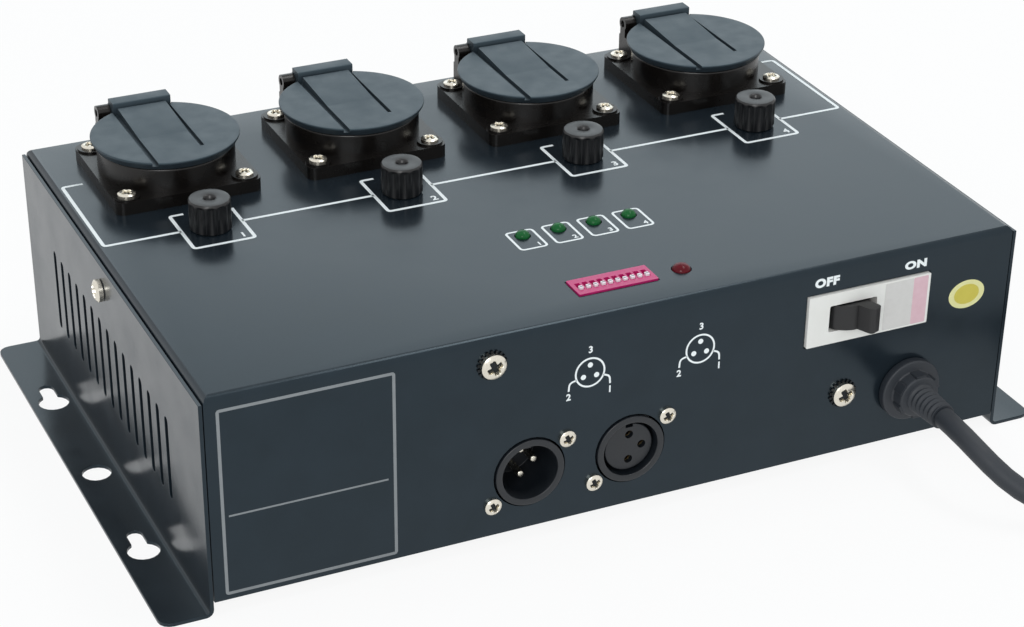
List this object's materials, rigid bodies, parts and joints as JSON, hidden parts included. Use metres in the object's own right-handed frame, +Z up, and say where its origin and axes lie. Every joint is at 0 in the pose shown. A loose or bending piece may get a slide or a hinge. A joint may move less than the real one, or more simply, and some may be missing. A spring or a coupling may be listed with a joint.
{
  "type": "dmx switch pack",
  "caption": "Steel lighting switch pack box with lidded mains sockets and fuses on top, and a breaker lever, round data connectors and a mains cord in front.",
  "frame": {"origin": "on the surface that the pack stands on, midway between its two ends, and about midway between the tip of the breaker's lever and the back", "axes": "+Z up, +X to the right along the front, +Y from the front to the back"},
  "size_m": [0.4348, 0.2585, 0.0933],
  "materials": {
    "black_steel": "satin powder coat",
    "black_plastic": "moulded satin",
    "lid_plastic": "fine texture",
    "bright_steel": "nickel plated",
    "glass": "clear",
    "green_lens": "clear tinted, unlit",
    "red_lens": "clear tinted, unlit",
    "switch_red": "moulded satin",
    "white_plastic": "moulded satin",
    "board_green": "solder mask",
    "relay_blue": "moulded satin",
    "cord_black": "matte"
  },
  "bodies": {
    "housing": {"top_shell": "black_steel", "end_plate_left": "black_steel", "end_plate_right": "black_steel", "bottom_plate": "black_steel", "end_screw_left": "bright_steel", "end_screw_right": "bright_steel", "socket_body_1": "black_plastic", "socket_body_2": "black_plastic", "socket_body_3": "black_plastic", "socket_body_4": "black_plastic", "hinge_pin_1": "bright_steel", "hinge_pin_2": "bright_steel", "hinge_pin_3": "bright_steel", "hinge_pin_4": "bright_steel", "fuse_holder_1": "black_plastic", "fuse_holder_2": "black_plastic", "fuse_holder_3": "black_plastic", "fuse_holder_4": "black_plastic", "channel_led_1": "green_lens", "channel_led_2": "green_lens", "channel_led_3": "green_lens", "channel_led_4": "green_lens", "signal_led": "red_lens", "address_switch": "switch_red", "control_board": "board_green", "relay_1": "relay_blue", "relay_2": "relay_blue", "relay_3": "relay_blue", "relay_4": "relay_blue", "transformer": "bright_steel", "breaker_body": "white_plastic", "data_in_male": "black_plastic", "data_out_female": "black_plastic", "strain_relief": "black_plastic", "mains_cord": "cord_black", "mains_cord_coil": "cord_black", "mains_plug": "cord_black"},
    "lid_1": {"splash_lid_1": "lid_plastic"},
    "lid_2": {"splash_lid_2": "lid_plastic"},
    "lid_3": {"splash_lid_3": "lid_plastic"},
    "lid_4": {"splash_lid_4": "lid_plastic"},
    "link_1": {"fuse_link_1": "glass"},
    "link_2": {"fuse_link_2": "glass"},
    "link_3": {"fuse_link_3": "glass"},
    "link_4": {"fuse_link_4": "glass"},
    "cap_1": {"fuse_cap_1": "black_plastic"},
    "cap_2": {"fuse_cap_2": "black_plastic"},
    "cap_3": {"fuse_cap_3": "black_plastic"},
    "cap_4": {"fuse_cap_4": "black_plastic"},
    "slider_1": {"address_slider_1": "white_plastic"},
    "slider_2": {"address_slider_2": "white_plastic"},
    "slider_3": {"address_slider_3": "white_plastic"},
    "slider_4": {"address_slider_4": "white_plastic"},
    "slider_5": {"address_slider_5": "white_plastic"},
    "slider_6": {"address_slider_6": "white_plastic"},
    "slider_7": {"address_slider_7": "white_plastic"},
    "slider_8": {"address_slider_8": "white_plastic"},
    "slider_9": {"address_slider_9": "white_plastic"},
    "slider_10": {"address_slider_10": "white_plastic"},
    "lever": {"breaker_lever": "black_plastic"}
  },
  "joints": [
    {"name": "lid_hinge_1", "type": "hinge", "parent": "housing", "child": "lid_1", "pos_m": [-0.0999, 0.0869, 0.0891], "axis": [-1, 0, 0], "range_deg": [0, 110], "stiffness_Nm_per_rad": 0.004, "springref_deg": -57.3},
    {"name": "lid_hinge_2", "type": "hinge", "parent": "housing", "child": "lid_2", "pos_m": [-0.0333, 0.0869, 0.0891], "axis": [-1, 0, 0], "range_deg": [0, 110], "stiffness_Nm_per_rad": 0.004, "springref_deg": -57.3},
    {"name": "lid_hinge_3", "type": "hinge", "parent": "housing", "child": "lid_3", "pos_m": [0.0333, 0.0869, 0.0891], "axis": [-1, 0, 0], "range_deg": [0, 110], "stiffness_Nm_per_rad": 0.004, "springref_deg": -57.3},
    {"name": "lid_hinge_4", "type": "hinge", "parent": "housing", "child": "lid_4", "pos_m": [0.0999, 0.0869, 0.0891], "axis": [-1, 0, 0], "range_deg": [0, 110], "stiffness_Nm_per_rad": 0.004, "springref_deg": -57.3},
    {"name": "fuse_pull_1", "type": "slide", "parent": "housing", "child": "link_1", "axis": [0, 0, 1], "range_m": [0, 0.045]},
    {"name": "fuse_pull_2", "type": "slide", "parent": "housing", "child": "link_2", "axis": [0, 0, 1], "range_m": [0, 0.045]},
    {"name": "fuse_pull_3", "type": "slide", "parent": "housing", "child": "link_3", "axis": [0, 0, 1], "range_m": [0, 0.045]},
    {"name": "fuse_pull_4", "type": "slide", "parent": "housing", "child": "link_4", "axis": [0, 0, 1], "range_m": [0, 0.045]},
    {"name": "fuse_turn_1", "type": "hinge", "parent": "link_1", "child": "cap_1", "pos_m": [-0.0999, 0.0151, 0.08], "axis": [0, 0, 1], "range_deg": [0, 60]},
    {"name": "fuse_turn_2", "type": "hinge", "parent": "link_2", "child": "cap_2", "pos_m": [-0.0333, 0.0151, 0.08], "axis": [0, 0, 1], "range_deg": [0, 60]},
    {"name": "fuse_turn_3", "type": "hinge", "parent": "link_3", "child": "cap_3", "pos_m": [0.0333, 0.0151, 0.08], "axis": [0, 0, 1], "range_deg": [0, 60]},
    {"name": "fuse_turn_4", "type": "hinge", "parent": "link_4", "child": "cap_4", "pos_m": [0.0999, 0.0151, 0.08], "axis": [0, 0, 1], "range_deg": [0, 60]},
    {"name": "slider_1_slide", "type": "slide", "parent": "housing", "child": "slider_1", "axis": [0, 1, 0], "range_m": [0, 0.0024]},
    {"name": "slider_2_slide", "type": "slide", "parent": "housing", "child": "slider_2", "axis": [0, 1, 0], "range_m": [0, 0.0024]},
    {"name": "slider_3_slide", "type": "slide", "parent": "housing", "child": "slider_3", "axis": [0, 1, 0], "range_m": [0, 0.0024]},
    {"name": "slider_4_slide", "type": "slide", "parent": "housing", "child": "slider_4", "axis": [0, 1, 0], "range_m": [0, 0.0024]},
    {"name": "slider_5_slide", "type": "slide", "parent": "housing", "child": "slider_5", "axis": [0, 1, 0], "range_m": [0, 0.0024]},
    {"name": "slider_6_slide", "type": "slide", "parent": "housing", "child": "slider_6", "axis": [0, 1, 0], "range_m": [0, 0.0024]},
    {"name": "slider_7_slide", "type": "slide", "parent": "housing", "child": "slider_7", "axis": [0, 1, 0], "range_m": [0, 0.0024]},
    {"name": "slider_8_slide", "type": "slide", "parent": "housing", "child": "slider_8", "axis": [0, 1, 0], "range_m": [0, 0.0024]},
    {"name": "slider_9_slide", "type": "slide", "parent": "housing", "child": "slider_9", "axis": [0, 1, 0], "range_m": [0, 0.0024]},
    {"name": "slider_10_slide", "type": "slide", "parent": "housing", "child": "slider_10", "axis": [0, 1, 0], "range_m": [0, 0.0024]},
    {"name": "breaker_throw", "type": "hinge", "parent": "housing", "child": "lever", "pos_m": [0.0787, -0.083, 0.0564], "axis": [0, 0, -1], "range_deg": [0, 44]}
  ]
}
